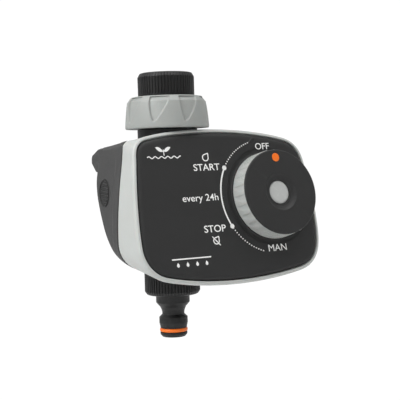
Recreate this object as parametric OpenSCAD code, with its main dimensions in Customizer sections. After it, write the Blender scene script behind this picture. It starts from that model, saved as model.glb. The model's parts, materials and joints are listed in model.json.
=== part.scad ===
// Single-dial tap timer for drip irrigation. Millimetres, +Z up along the water
// axis, the front face looks towards -Y. The origin is the centre of the tap
// adapter's mouth, so the timer hangs below it.

/* [Overall] */
// Distance from the tap mouth down to the middle of the housing
drop = 79.2; // [78.6:0.1:82]
// Backward lean of the front face, in degrees
lean = 13; // [11:0.5:15]
// Distance from the water axis to the dial axis, sideways
dial_x = 49.6; // [49:0.1:50.2]
// Distance of the dial's seat in front of the water axis
dial_y = 29.5; // [29:0.1:31]
// Height of the dial's seat above the middle of the housing
dial_z = 6.8; // [6:0.1:7.6]

/* [Housing] */
// Width of the front panel
panel_w = 117.4; // [116.5:0.1:119]
// Height of the front panel
panel_h = 84.5; // [84:0.1:86]
// Width of the frame's rim round the panel
rim = 2.4; // [2:0.1:3]
// Wall thickness of the housing shells
wall = 2.2; // [1.8:0.1:2.4]
// Distance of the seam between the two shells in front of the water axis
seam_y = 5.5; // [5:0.1:6]
// Distance of the back wall behind the water axis
back_y = 24.4; // [24:0.1:26]

/* [Dial] */
// Radius of the dial at its foot
dial_r = 25.4; // [24:0.1:26]
// Radius of the dial's face
dial_face_r = 24.65; // [24:0.05:24.9]
// Height of the dial over the panel
dial_h = 11.9; // [11.5:0.1:13]
// Number of grip facets round the dial
dial_grips = 26; // [20:1:32]
// Radius of the centre button
button_r = 6.65; // [6:0.05:6.7]
// Radius at which the pointer insert sits
marker_at = 20; // [18:0.5:21]
// Radius of the pointer insert
marker_r = 2.5; // [2:0.1:3]

/* [Water path] */
// Outside radius of the knurled collars
collar_r = 16; // [15.8:0.1:17]
// Number of ribs round each knurled collar
knurls = 60; // [40:1:72]
// Largest radius of the swivel nut
nut_r = 24.1; // [23.5:0.1:25]
// Number of grips round the swivel nut
nut_grips = 8; // [6:1:10]
// Radius of the inlet neck
neck_r = 17.2; // [16.8:0.1:17.3]
// Radius of the valve ball
ball_r = 8.5; // [8:0.1:8.6]
// Radius of the bore through the ball
ball_bore = 4.5; // [4:0.1:5]

/* [Threads] */
// Bore for the tap's G3/4 thread, radius at the thread's crests
tap_r = 12.06; // [12:0.01:12.1]
// Radius of the outlet stub, at the middle of its G3/4 thread
stub_r = 12.64; // [12.6:0.01:12.7]
// Radius of the union's shank, at the middle of its G1 thread
union_r = 15.85; // [15.8:0.01:15.9]

/* [Gears] */
// Teeth on the valve gear
valve_teeth = 36; // [36]
// Teeth on each pinion
pinion_teeth = 12; // [12]
// Teeth on the idler's wheel
wheel_teeth = 28; // [28]
// Module of the slow pair
slow_mod = 0.5; // [0.5]
// Module of the fast pair
fast_mod = 0.4; // [0.4]

/* [Hidden] */
$fn = 64;
ball_z = -14;
xc = -28.5;
zc = -3.85;
kx = panel_w / 117.4;
kz = panel_h / 84.5;
idler_angle = 163.5;
motor_angle = -46.5;
slow_gap = (valve_teeth + pinion_teeth) / 2 * slow_mod;
fast_gap = (wheel_teeth + pinion_teeth) / 2 * fast_mod;
idler_yz = [slow_gap * cos(idler_angle), ball_z + slow_gap * sin(idler_angle)];
motor_yz = idler_yz + fast_gap * [cos(motor_angle), sin(motor_angle)];
posts = [[-30, -30], [17.5, -28.5], [19.5, 21.5], [-30, 24]];

// Frames: pipe() is the water axis, with z = 0 at the middle of the housing.
// front() is the panel's: x to the right, z up the panel, -y out of its face.
// dial() has its z axis out of the panel, on the dial's axis.
module pipe() translate([0, 0, -drop]) children();
module front() translate([dial_x, -dial_y, dial_z - drop]) rotate([-lean, 0, 0]) children();
module dial() front() rotate([90, 0, 0]) children();
// upright() has the panel's x and the water axis's y and z.
module upright() pipe() translate([dial_x, 0, 0]) children();

// The panel's outline: eight cubic curves, a bowed edge and a corner in turn.
function bez(p, t) = pow(1 - t, 3) * p[0] + 3 * pow(1 - t, 2) * t * p[1] + 3 * (1 - t) * t * t * p[2] + t * t * t * p[3];
edges = [
  [[-74.5, 34.7], [-50, 40], [-10, 39.5], [17, 32.6]],
  [[17, 32.6], [22.5, 31], [26, 27.5], [27.2, 21.5]],
  [[27.2, 21.5], [29, 9], [31.2, -10], [29.6, -24]],
  [[29.6, -24], [28.6, -33.5], [25, -39.8], [14.5, -42]],
  [[14.5, -42], [-12, -47], [-46, -47.8], [-74, -41.3]],
  [[-74, -41.3], [-81, -39.8], [-86.8, -33.5], [-87.1, -25.5]],
  [[-87.1, -25.5], [-87.6, -9], [-84.9, 12], [-83, 24]],
  [[-83, 24], [-82.6, 31], [-80, 34], [-74.5, 34.7]]];
outline_pts = [for (e = edges) for (k = [0:6]) let (p = bez(e, k / 7)) [xc + (p[0] - xc) * kx, zc + (p[1] - zc) * kz]];
module outline(grow = 0) offset(delta = grow) polygon(outline_pts);
// A plate of the outline between two depths behind the panel.
module plate(y0, y1, grow = 0) translate([0, y1, 0]) rotate([90, 0, 0]) linear_extrude(y1 - y0) outline(grow);
// An upright cross-section of the shells between depths y0 and y1: the outline
// drawn in by g, narrowed by sx, and drawn up by sz from the height "top".
module section(y0, y1, g, sx, sz, top) upright() translate([0, y1, 0]) rotate([90, 0, 0]) linear_extrude(y1 - y0)
  offset(delta = g) polygon([for (p = outline_pts) [xc + (p[0] - xc) * sx, top - (35 - p[1]) * sz]]);
module seam_section(y0, y1, g) section(y0 - seam_y, y1 - seam_y, g - 0.3, 1, 0.95, 40.5);
// The rear shell's form, made smaller all round by "in".
module rear_form(in = 0, open = 0) hull() {
  seam_section(0.35 - open, 0.36, -in);
  section(5.5, 5.51, -0.5 - in, 0.995, 0.9, 40);
  section(12.2 - in * 0.4, 12.21 - in * 0.4, -0.6 - in, 0.99, 0.79, 39.2);
  section(17.2 - in * 0.7, 17.21 - in * 0.7, -0.7 - in, 0.985, 0.655, 38.4);
  section(back_y - 3.2 - in * 0.9, back_y - 3.19 - in * 0.9, -0.9 - in, 0.98, 0.51, 37.7);
  section(back_y - 0.8 - in, back_y - 0.79 - in, -1.5 - in, 0.975, 0.39, 37);
  section(back_y - 0.01 - in, back_y - in, -2.6 - in, 0.97, 0.33, 36.6);
}
// Prism through the back wall, over the battery, grown by g.
module cover_box(g) upright() translate([-29 - g, 6, -3 - g]) cube([52 + 2 * g, 30, 26 + 2 * g]);
// The opening round the outlet, with a shallow recess for the collar's rim.
module outlet_way() pipe() {
  translate([0, 0, -60]) cylinder(r = 14.8, h = 40);
  translate([0, 0, -60]) cylinder(r = collar_r + 0.7, h = 26.2);
  translate([0, 0, -60]) cylinder(r = 13.25, h = 55);
}
module tube(r, ri, z0, z1) difference() {
  translate([0, 0, z0]) cylinder(r = r, h = z1 - z0);
  translate([0, 0, z0 - 1]) cylinder(r = ri, h = z1 - z0 + 2);
}
// Cross-section of a knurled collar.
module knurl_2d(r) polygon([for (i = [0:knurls - 1]) each [for (s = [[-0.5, -0.5], [-0.22, -0.5], [-0.12, 0], [0.12, 0], [0.22, -0.5]]) let (a = (i + s[0]) * 360 / knurls) (r + s[1]) * [cos(a), sin(a)]]]);
// The space the inlet neck needs through the top.
module neck_way() pipe() translate([0, 0, 12]) cylinder(r = neck_r + 0.3, h = 40);
// Involute tooth flank: polar points of a gear with stub teeth and 25 degree pressure angle.
function inv(a) = tan(a) * 180 / PI - a;
function gear_pts(z, m, thin = 0.07) = let (rp = z * m / 2, rb = rp * cos(25), ra = rp + 0.75 * m, rf = rp - 1.05 * m,
    half = 90 / z - thin / rp * 180 / PI, a0 = half + inv(25), r0 = max(rb, rf), steps = 5)
  [for (i = [0:z - 1]) each concat(
    [[i * 360 / z - a0, rf]],
    [for (k = [0:steps]) let (r = r0 + (ra - r0) * k / steps, al = acos(min(1, rb / r))) [i * 360 / z - (a0 - inv(al)), r]],
    [for (k = [steps:-1:0]) let (r = r0 + (ra - r0) * k / steps, al = acos(min(1, rb / r))) [i * 360 / z + (a0 - inv(al)), r]],
    [[i * 360 / z + a0, rf]])];
module gear_2d(z, m) polygon([for (p = gear_pts(z, m)) p[1] * [cos(p[0]), sin(p[0])]]);
// Stands a shape on an axis parallel to +X at [y, z], starting at x.
module along_x(yz, x) pipe() translate([x, yz[0], yz[1]]) rotate([90, 0, 90]) children();
// A run of wire, ten-sided, through a list of points.
module wire(pts, r) for (i = [0:len(pts) - 2]) let (d = pts[i + 1] - pts[i], l = norm(d))
  translate(pts[i]) rotate([0, acos(d[2] / l), atan2(d[1], d[0])]) translate([0, 0, -0.4 * r]) cylinder(r = r, h = l + 0.8 * r, $fn = 10);
module ellipse_2d(a, b) polygon([for (i = [0:39]) [a * cos(i * 9), b * sin(i * 9)]]);

module rear_shell() color([0.27, 0.27, 0.27]) {
  difference() {
    union() {
      rear_form();
      // brow along the top of the back
      upright() translate([-81.8, 0, 0]) rotate([90, 0, 90]) linear_extrude(99.8) polygon([[16, 36.3], [23.3, 36.4], [27.9, 34.7], [31, 32.9], [31.7, 31.6], [32, 30], [31.8, 28.8], [31, 27.8], [26.5, 23.9], [20, 24.6], [16, 27.5]]);
    }
    difference() {
      rear_form(wall, 1.5);
      // landing for the battery cover's seal
      difference() {
        cover_box(2);
        rear_form(wall + 2.1, 0);
        cover_box(-1.6);
      }
    }
    difference() { cover_box(0.3); rear_form(wall + 0.8); }
    cover_box(-1.6);
    neck_way();
    outlet_way();
    difference() { pad_prism(0.15); rear_form(0.85); }
  }
  // posts for the clamp's screw and the electrical socket
  difference() {
    pipe() translate([-19.5, 4, 15]) rotate([-90, 0, 0]) cylinder(r = 3, h = 18.9);
    pipe() translate([-19.5, 3, 15]) rotate([-90, 0, 0]) cylinder(r = 1.25, h = 10);
  }
  front() translate([14, 24.6, -18]) rotate([-90, 0, 0]) cylinder(r = 2.5, h = 19);
}
// Oval prisms through both side walls.
module pad_prism(g) upright() for (x = [-95, 15]) translate([x, 14, 11.6]) rotate([90, 0, 90]) linear_extrude(30) rotate(-6) ellipse_2d(5.7 + g, 7.9 + g);
module grip_pad(s) color([0.2, 0.2, 0.2]) intersection() {
  upright() translate([s < 0 ? -100 : 0, 0, -20]) cube([60, 40, 60]);
  union() {
    difference() { intersection() { pad_prism(0); rear_form(0.1); } rear_form(0.8); }
    difference() {
      intersection() {
        pad_prism(0);
        rear_form(-0.5);
        upright() for (i = [-3:3]) translate([-100, 5, 11.1 + i * 2.1]) rotate([-6, 0, 0]) cube([150, 20, 0.9]);
      }
      rear_form(0.5);
    }
  }
}
module battery_cover() color([0.25, 0.25, 0.25]) difference() {
  intersection() { rear_form(); cover_box(0); }
  rear_form(wall);
  upright() translate([-13, 18, 19.5]) cube([20, 12, 1.2]);
}
module cover_seal() color([0.08, 0.08, 0.08]) difference() {
  intersection() { rear_form(wall + 0.05); cover_box(-0.1); }
  rear_form(wall + 0.75);
  cover_box(-1.5);
}
module front_frame() color([0.80, 0.81, 0.79]) difference() {
  union() {
    difference() {
      hull() { front() plate(0.9, 0.91, rim - 0.8); front() plate(1.7, 1.71, rim); seam_section(-0.36, -0.35, 0); }
      front() plate(0, 2.7, 0.25);
      front() plate(1, 5, -2.6);
      hull() { front() plate(4.2, 4.21, rim - wall - 0.3); seam_section(-0.36, 1, -wall); }
    }
    // tongue that enters the rear shell
    difference() {
      union() { seam_section(-3, 1.2, -wall - 0.6); seam_section(-3, -1.6, -wall + 1); }
      seam_section(-4, 3, -wall - 1.8);
    }
  }
  neck_way();
  outlet_way();
}
module front_panel() color([0.22, 0.22, 0.22]) difference() {
  union() {
    hull() { plate(0, 0.01, -2.6); plate(0.35, 0.36, -1.0); plate(1.2, 2.5, 0); }
    for (p = posts) translate([p[0], 2.4, p[1]]) rotate([-90, 0, 0]) cylinder(r = 3, h = 5.7);
  }
  translate([0, 5, 0]) rotate([90, 0, 0]) cylinder(r = 9.1, h = 10);
  for (p = posts) translate([p[0], 3.2, p[1]]) rotate([-90, 0, 0]) cylinder(r = 1.25, h = 6);
}
module housing_seal() color([0.08, 0.08, 0.08]) difference() {
  seam_section(-0.33, 0.33, -0.25);
  seam_section(-1, 1, -wall + 0.05);
  neck_way();
  outlet_way();
}

module dial_skirt() color([0.74, 0.75, 0.73]) dial() difference() {
  rotate_extrude() polygon([[dial_r, 0.5], [24.85, 10.8], [11.1, 10.8], [11.1, 9.3], [6.9, 9.3], [6.9, 2.8], [3.1, 2.8], [3.1, 1.4], [5.5, 1.4],
    [5.5, -6.2], [9, -6.2], [9, 7.6], [22.8, 7.6], [23.4, 0.5]]);
  for (i = [0:dial_grips - 1]) rotate(i * 360 / dial_grips) translate([dial_r - 0.85, 0, 1.8]) rotate([0, -2, -16]) cube([4, 5, 12]);
}
module dial_face() color([0.21, 0.21, 0.21]) dial() difference() {
  rotate_extrude() polygon([[dial_face_r, 10.85], [dial_face_r, dial_h - 0.5], [dial_face_r - 0.5, dial_h], [10.4, dial_h], [8.2, dial_h - 1.6], [6.8, dial_h - 1.75], [6.8, 9.4], [11, 9.4], [11, 10.85]]);
  translate([0, marker_at, dial_h - 0.8]) cylinder(r = marker_r + 0.05, h = 2);
}
module dial_pointer() color([0.93, 0.40, 0.10]) dial() translate([0, marker_at, dial_h - 0.78]) cylinder(r = marker_r, h = 0.88);
module wiper_disc() color([0.85, 0.85, 0.82]) dial() tube(14, 9.02, -5.2, -2.65);
module wiper_contacts() color([0.80, 0.65, 0.30]) dial() for (i = [0:2]) rotate(90 + i * 120) {
  translate([11, -1, -5.55]) cube([1.6, 6, 0.35]);
  translate([11, 4.2, -7.9]) cube([1.6, 0.8, 2.37]);
}
module centre_button() color([0.68, 0.69, 0.68]) dial() rotate_extrude() polygon([[0, -3.7], [3, -3.7], [3, 4], [button_r, 4], [button_r, 9.85], [button_r - 0.3, 10.15], [0, 10.15]]);
module switch_plunger() color([0.15, 0.15, 0.15]) dial() translate([0, 0, -5.1]) cylinder(r = 1.5, h = 1.35);
module push_switch() color([0.35, 0.36, 0.38]) dial() difference() {
  translate([-3, -3, -8.15]) cube([6, 6, 3.4]);
  translate([0, 0, -6.4]) cylinder(r = 1.56, h = 4);
}

module board_2d() polygon([[-33, -33.5], [16, -33.5], [23, -26.5], [23, 22.4], [17.4, 28], [-33, 28]]);
module circuit_board() color([0.10, 0.35, 0.16]) translate([0, 9.8, 0]) rotate([90, 0, 0]) linear_extrude(1.6) difference() {
  board_2d();
  for (p = posts) translate(p) circle(r = 1.5);
}
module board_parts() color([0.1, 0.1, 0.1]) {
  translate([-22, 9.85, 6]) cube([8, 1.2, 8]);
  translate([4, 9.85, -4]) cube([5, 1.4, 6]);
  translate([-8, 9.85, 12]) cube([3, 1, 1.6]);
  translate([-8, 9.85, 8]) cube([3, 1, 1.6]);
  translate([-24, 9.85, -8]) cube([1.6, 1, 3]);
  translate([12, 9.85, 8]) rotate([-90, 0, 0]) cylinder(r = 1.9, h = 2.2);
  translate([-14, 9.85, -12]) cube([7, 2, 3]);
}
module board_cover() color([0.3, 0.3, 0.31]) difference() {
  union() {
    translate([0, 13.4, 0]) rotate([90, 0, 0]) linear_extrude(1.1) board_2d();
    for (p = posts) translate([p[0], 9.9, p[1]]) rotate([-90, 0, 0]) cylinder(r = 2.6, h = 3);
  }
  for (p = posts) translate([p[0], 8, p[1]]) rotate([-90, 0, 0]) cylinder(r = 1.4, h = 8);
  translate([7, 11, -24]) cube([14, 4, 8]);
}
module board_screws() color([0.7, 0.7, 0.72]) for (p = posts) translate([p[0], 0, p[1]]) rotate([-90, 0, 0]) difference() {
  union() { translate([0, 0, 3.6]) cylinder(r = 1.2, h = 10); translate([0, 0, 13.5]) cylinder(r = 2.3, h = 1.3); }
  for (a = [0, 90]) rotate(a) translate([-1.5, -0.3, 14.1]) cube([3, 0.6, 1]);
}
module contact_pins() color([0.85, 0.70, 0.35]) for (x = [10.5, 14, 17.5]) translate([x, 9.85, -20]) rotate([-90, 0, 0]) cylinder(r = 0.6, h = 12, $fn = 24);
module contact_socket() color([0.9, 0.9, 0.88]) difference() {
  translate([8, 17.5, -24]) cube([12, 7, 8]);
  for (x = [10.5, 14, 17.5]) translate([x, 17, -20]) rotate([-90, 0, 0]) cylinder(r = 0.7, h = 6, $fn = 24);
}

module tap_adapter() color([0.12, 0.12, 0.12]) pipe() difference() {
  union() {
    translate([0, 0, 66.4]) linear_extrude(10.5) knurl_2d(collar_r);
    rotate_extrude() polygon([[0, 65.9], [collar_r - 0.9, 65.9], [collar_r - 0.62, 66.4], [collar_r - 0.62, 76.9], [collar_r - 1.5, drop], [0, drop]]);
    rotate_extrude() polygon([[0, 55.35], [union_r - 0.6, 55.35], [union_r, 55.95], [union_r, 66], [0, 66]]);
  }
  translate([0, 0, 67]) cylinder(r = tap_r, h = 20);
  translate([0, 0, 66.2]) cylinder(r = tap_r + 0.5, h = 2.2);
  translate([0, 0, 50]) cylinder(r = 8.5, h = 20);
}
module tap_washer() color([0.15, 0.15, 0.15]) pipe() tube(tap_r + 0.4, 7.6, 66.25, 68.2);
module swivel_nut() color([0.66, 0.67, 0.66]) pipe() difference() {
  rotate_extrude() polygon([[0, 47.35], [nut_r, 47.35], [nut_r, 48.2], [nut_r - 0.35, 54], [nut_r - 1.1, 60], [nut_r - 1.8, 63.2], [nut_r - 2.7, 64.8], [nut_r - 4.2, 65.6], [0, 65.7]]);
  translate([0, 0, 50.3]) cylinder(r = union_r + 0.05, h = 20);
  cylinder(r = 14.7, h = 60);
  for (i = [0:nut_grips - 1]) rotate(i * 360 / nut_grips + 33) translate([nut_r - 2.4, 0, 51.8]) rotate([0, -3, -12]) cube([7, 12, 20]);
}
module nut_ring() color([0.85, 0.85, 0.82]) pipe() difference() {
  tube(15.4, 13.22, 50.38, 51.9);
  translate([0, 0, 45]) linear_extrude(10) polygon([[0, 0], [30, -8], [30, 8]]);
}
module union_washer() color([0.15, 0.15, 0.15]) pipe() tube(14.4, 9.3, 54.15, 55.25);
module inlet_filter() color([0.88, 0.88, 0.85]) pipe() difference() {
  rotate_extrude() polygon([[8.9, 54.05], [8.9, 52.6], [7.8, 52.6], [6.2, 42], [0, 42], [0, 42.8], [5.5, 42.8], [7.1, 53.2], [7.6, 54.05]]);
  for (i = [0:7]) rotate(i * 45) for (z = [44.2, 47, 49.8]) translate([4, -1.4, z]) cube([6, 2.8, 2]);
}
module inlet_stub() color([0.10, 0.10, 0.10]) pipe() difference() {
  union() {
    rotate_extrude() polygon([[0, 54.1], [14.2, 54.1], [14.6, 53.7], [14.6, 51.95], [13.2, 51.95], [13.2, 50.35], [14.6, 50.35], [14.6, 47], [neck_r - 0.3, 47], [neck_r, 46.7], [neck_r, 31], [13, 28], [13, 6.1], [8.9, 6.1], [8.9, 1.3], [7.2, 1.3], [7.2, -0.9], [8.9, -0.9], [8.9, -4.4], [0, -4.4]]);
    for (a = [45:90:315]) rotate(a) translate([11, -3, 6.3]) { cube([4.5, 6, 3.8]); translate([4.5, 3, 0]) cylinder(r = 3.3, h = 3.8); }
  }
  rotate_extrude() polygon([[0, -5], [5.6, -5], [5.6, 8], [8, 11], [8, 52.5], [9, 52.5], [9, 55], [0, 55]]);
  for (a = [45:90:315]) rotate(a) translate([15.5, 0, 0]) cylinder(r = 1.7, h = 20);
}
module stub_o_ring() color([0.1, 0.1, 0.1]) pipe() translate([0, 0, 0.2]) rotate_extrude() translate([8.08, 0]) circle(r = 0.86, $fn = 24);
module valve_body() color([0.14, 0.14, 0.14]) pipe() difference() {
  union() {
    rotate_extrude() polygon([[0, 5.95], [13, 5.95], [13, -27.5], [14.4, -28.5], [14.4, -33.3], [stub_r, -33.7], [stub_r, -42.9], [stub_r - 0.5, -43.4], [0, -43.4]]);
    for (a = [45:90:315]) rotate(a) translate([11, -3, 1.95]) { cube([4.5, 6, 3.8]); translate([4.5, 3, 0]) cylinder(r = 3.3, h = 3.8); }
    translate([0, 0, ball_z]) rotate([0, 90, 0]) cylinder(r = 7, h = 16);
  }
  translate([0, 0, -23.6]) cylinder(r = 9, h = 40);
  translate([0, 0, -50]) cylinder(r = 5.5, h = 40);
  translate([0, 0, ball_z]) rotate([0, 90, 0]) cylinder(r = 3.05, h = 30);
  translate([0, 0, ball_z]) rotate([0, 90, 0]) cylinder(r = 4.4, h = 10.3);
  for (a = [45:90:315]) rotate(a) translate([15.5, 0, 0]) cylinder(r = 1.3, h = 10);
}
module valve_screws() color([0.7, 0.7, 0.72]) pipe() for (a = [45:90:315]) rotate(a) translate([15.5, 0, 0]) difference() {
  union() { translate([0, 0, 0.6]) cylinder(r = 1.25, h = 10); translate([0, 0, 10.15]) cylinder(r = 2.4, h = 1.8); }
  for (b = [0, 90]) rotate(b) translate([-1.6, -0.35, 11.1]) cube([3.2, 0.7, 2]);
}
module valve_clamp() color([0.55, 0.56, 0.57]) pipe() difference() {
  union() {
    intersection() { tube(14.9, 13.1, 12, 18); translate([-20, -20, 10]) cube([40, 23.9, 10]); }
    translate([-22.5, 2.3, 12]) cube([9.4, 1.6, 6]);
    translate([13.1, 2.3, 12]) cube([3, 1.6, 6]);
  }
  translate([-19.5, 0, 15]) rotate([-90, 0, 0]) cylinder(r = 1.6, h = 8);
}
module clamp_screw() color([0.7, 0.7, 0.72]) pipe() translate([-19.5, 0, 15]) rotate([-90, 0, 0]) difference() {
  union() { translate([0, 0, 0.7]) cylinder(r = 2.6, h = 1.55); translate([0, 0, 2]) cylinder(r = 1.2, h = 9); }
  for (b = [0, 90]) rotate(b) translate([-1.6, -0.35, 0.2]) cube([3.2, 0.7, 1.2]);
}
module seat(z0, z1) color([0.92, 0.92, 0.90]) pipe() difference() {
  tube(8.9, 5.2, z0, z1);
  translate([0, 0, ball_z]) sphere(r = ball_r + 0.04);
}
module valve_ball() color([0.75, 0.62, 0.30]) pipe() translate([0, 0, ball_z]) difference() {
  sphere(r = ball_r);
  rotate([90, 0, 0]) cylinder(r = ball_bore, h = 40, center = true);
  translate([6, -1.3, -5]) cube([5, 2.6, 10]);
}
module valve_stem() color([0.80, 0.68, 0.38]) along_x([0, ball_z], 0) union() {
  rotate_extrude() polygon([[0, 8.75], [4.2, 8.75], [4.2, 10.1], [3, 10.1], [3, 12.2], [2.06, 12.2], [2.06, 13.4], [3, 13.4], [3, 17.5], [2.5, 17.5], [2.5, 24.5], [1.5, 24.5], [1.5, 28], [0, 28]]);
  translate([-1.2, -2.7, 6.15]) cube([2.4, 5.4, 3]);
}
module stem_o_ring() color([0.1, 0.1, 0.1]) along_x([0, ball_z], 12.8) rotate_extrude() translate([2.56, 0]) circle(r = 0.47, $fn = 24);
module valve_gear() color([0.93, 0.93, 0.90]) along_x([0, ball_z], 0) difference() {
  union() { translate([0, 0, 18]) linear_extrude(3.4) rotate(idler_angle) gear_2d(valve_teeth, slow_mod); translate([0, 0, 17.6]) cylinder(r = 4.2, h = 4.6); }
  translate([0, 0, 15]) cylinder(r = 2.52, h = 10);
  for (i = [0:4]) rotate(i * 72) translate([6.1, 0, 15]) cylinder(r = 1.1, h = 10);
}
module idler_gear() color([0.90, 0.86, 0.70]) along_x(idler_yz, 0) difference() {
  union() {
    translate([0, 0, 17.9]) linear_extrude(4.45) rotate(idler_angle + 180 + 180 / pinion_teeth) gear_2d(pinion_teeth, slow_mod);
    translate([0, 0, 22.3]) linear_extrude(3) rotate(motor_angle) gear_2d(wheel_teeth, fast_mod);
  }
  translate([0, 0, 15]) cylinder(r = 1.05, h = 15);
}
module idler_pin() color([0.75, 0.75, 0.77]) along_x(idler_yz, 16.2) cylinder(r = 1, h = 11.9);
pillar_at = [[9.5, -6.5], [-17.6, -18.5]];
fix_at = [3, 5.2];
module gear_plate(x0, t) along_x([0, 0], x0) linear_extrude(t) difference() {
  hull() { for (p = concat(pillar_at, [[-14.9, -5.4], [3.5, -22.5], [-9, -24.5]])) translate(p) circle(r = 3.3, $fn = 32); }
  translate([idler_yz[0], idler_yz[1]]) circle(r = 1);
  for (p = pillar_at) translate(p) circle(r = 1.2);
  children();
}
module gear_plate_inner() color([0.82, 0.83, 0.80]) gear_plate(16.1, 1.3) translate([0, ball_z]) circle(r = 3.1);
module gear_plate_outer() color([0.82, 0.83, 0.80]) gear_plate(26.6, 1.5) {
  translate([0, ball_z]) circle(r = 1.56);
  translate([motor_yz[0], motor_yz[1]]) circle(r = 3.05);
  for (s = [-1, 1]) translate(motor_yz + s * fix_at) circle(r = 1.1);
}
module plate_pillars() color([0.75, 0.75, 0.77]) for (p = pillar_at) along_x(p, 0) difference() {
  union() { translate([0, 0, 17.5]) cylinder(r = 2, h = 9); translate([0, 0, 15.2]) cylinder(r = 1.15, h = 13.8); translate([0, 0, 28.15]) cylinder(r = 1.7, h = 1.1); }
  translate([-1.5, -0.3, 28.8]) cube([3, 0.6, 1]);
}
module motor_pinion() color([0.80, 0.68, 0.38]) along_x(motor_yz, 22.3) difference() {
  linear_extrude(3.3) rotate(motor_angle + 180 + 180 / pinion_teeth) gear_2d(pinion_teeth, fast_mod);
  translate([0, 0, -1]) cylinder(r = 1.01, h = 6);
}
module motor_shaft() color([0.75, 0.75, 0.77]) along_x(motor_yz, 21.9) cylinder(r = 1, h = 12);
module motor() color([0.70, 0.71, 0.72]) along_x(motor_yz, 0) difference() {
  union() {
    translate([0, 0, 28.2]) cylinder(r = 10, h = 19.5);
    translate([0, 0, 26.7]) cylinder(r = 3, h = 2);
    translate([0, 0, 47.7]) cylinder(r = 9.4, h = 1.6);
    translate([0, 0, 49.3]) cylinder(r = 3, h = 1.6);
  }
  translate([0, 0, 20]) cylinder(r = 1.05, h = 14.2);
  for (s = [-1, 1]) translate([s * fix_at[0], s * fix_at[1], 28]) cylinder(r = 0.85, h = 3);
}
module motor_screws() color([0.6, 0.6, 0.62]) for (s = [-1, 1]) along_x(motor_yz + s * fix_at, 0) { translate([0, 0, 25.7]) cylinder(r = 1.7, h = 0.85); translate([0, 0, 26.4]) cylinder(r = 0.8, h = 3.9); }
module motor_leads() color([0.75, 0.10, 0.08]) {
  pipe() wire([[50.05, motor_yz[0] + 5, motor_yz[1] + 3], [53.5, -1, -13.4], [58.8, -4.2, -15.2], [58.8, -9.18, -15.85]], 0.65);
  pipe() wire([[50.05, motor_yz[0] - 5, motor_yz[1] + 3], [53.5, -8.6, -17], [58.8, -4.8, -21], [58.8, -10.1, -20.26]], 0.65);
}
module battery() color([0.12, 0.12, 0.13]) pipe() {
  translate([19, -7, 0.6]) cube([46, 17.5, 26.2]);
  translate([65, 1.75, 7.2]) rotate([0, 90, 0]) cylinder(r = 2.8, h = 2.4);
  translate([65, 1.75, 20]) rotate([0, 90, 0]) cylinder(r = 3.8, h = 2.4);
}
module battery_tray() color([0.3, 0.3, 0.31]) pipe() {
  translate([17.8, -8.2, -1.1]) cube([50, 23.4, 1.6]);
  translate([17.8, -8.2, -1.1]) cube([1.1, 19.5, 7]);
  translate([17.8, 10.6, -1.1]) cube([50, 1.1, 3.2]);
}
module battery_clip() color([0.08, 0.08, 0.08]) pipe() difference() {
  translate([65.1, -3.5, 2.5]) cube([4.2, 10.5, 22]);
  translate([65, 1.75, 7.2]) rotate([0, 90, 0]) cylinder(r = 2.85, h = 2.6);
  translate([65, 1.75, 20]) rotate([0, 90, 0]) cylinder(r = 3.85, h = 2.6);
}
module battery_leads() color([0.1, 0.1, 0.1]) {
  pipe() wire([[68.6, 4, 2.15], [68.6, 4, -6], [68.4, -1.5, -18.5], [68.4, -10.1, -20.26]], 0.65);
  pipe() wire([[68.6, -1, 2.15], [68.6, -1, -6], [68.4, -4.6, -14.8], [68.4, -9.18, -15.85]], 0.65);
}

module outlet_connector() color([0.13, 0.13, 0.13]) pipe() difference() {
  union() {
    translate([0, 0, -46.4]) linear_extrude(11.9) knurl_2d(collar_r);
    rotate_extrude() polygon([[0, -34.1], [collar_r - 0.9, -34.1], [collar_r - 0.62, -34.5], [collar_r - 0.62, -46.4], [collar_r - 1.9, -47.9], [9.75, -47.9], [9.75, -52.9], [8.6, -54], [7.3, -55.6], [6.6, -57.2], [6.4, -58.6],
      [6.4, -59.4], [8.25, -61.3], [8.25, -64.4], [7.6, -66.6], [7.6, -67.25], [5.95, -67.25], [5.95, -69.75], [7.77, -69.75], [7.77, -71.2], [6.4, -72.6], [0, -72.6]]);
  }
  translate([0, 0, -46.05]) cylinder(r = stub_r + 0.05, h = 20);
  translate([0, 0, -80]) cylinder(r = 4.6, h = 40);
}
module outlet_washer() color([0.12, 0.12, 0.12]) pipe() tube(12.1, 6.2, -46, -43.45);
module outlet_o_ring() color([0.95, 0.36, 0.08]) pipe() translate([0, 0, -68.5]) rotate_extrude() translate([7.05, 0]) circle(r = 1.08, $fn = 32);

rear_shell();
battery_cover();
cover_seal();
front_frame();
front() front_panel();
housing_seal();
grip_pad(-1);  // grip_pad_left
grip_pad(1);  // grip_pad_right
dial_skirt();
dial_face();
dial_pointer();
wiper_disc();
wiper_contacts();
centre_button();
switch_plunger();
push_switch();
front() circuit_board();
front() board_parts();
front() board_cover();
front() board_screws();
front() contact_pins();
front() contact_socket();
tap_adapter();
tap_washer();
swivel_nut();
nut_ring();
union_washer();
inlet_filter();
inlet_stub();
stub_o_ring();
valve_body();
valve_screws();
valve_clamp();
clamp_screw();
seat(-8.4, -4.5);  // upper_seat
seat(-23.5, -19.6);  // lower_seat
valve_ball();
valve_stem();
stem_o_ring();
valve_gear();
idler_gear();
idler_pin();
gear_plate_inner();
gear_plate_outer();
plate_pillars();
motor_pinion();
motor_shaft();
motor();
motor_screws();
motor_leads();
battery();
battery_tray();
battery_clip();
battery_leads();
outlet_connector();
outlet_washer();
outlet_o_ring();
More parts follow.
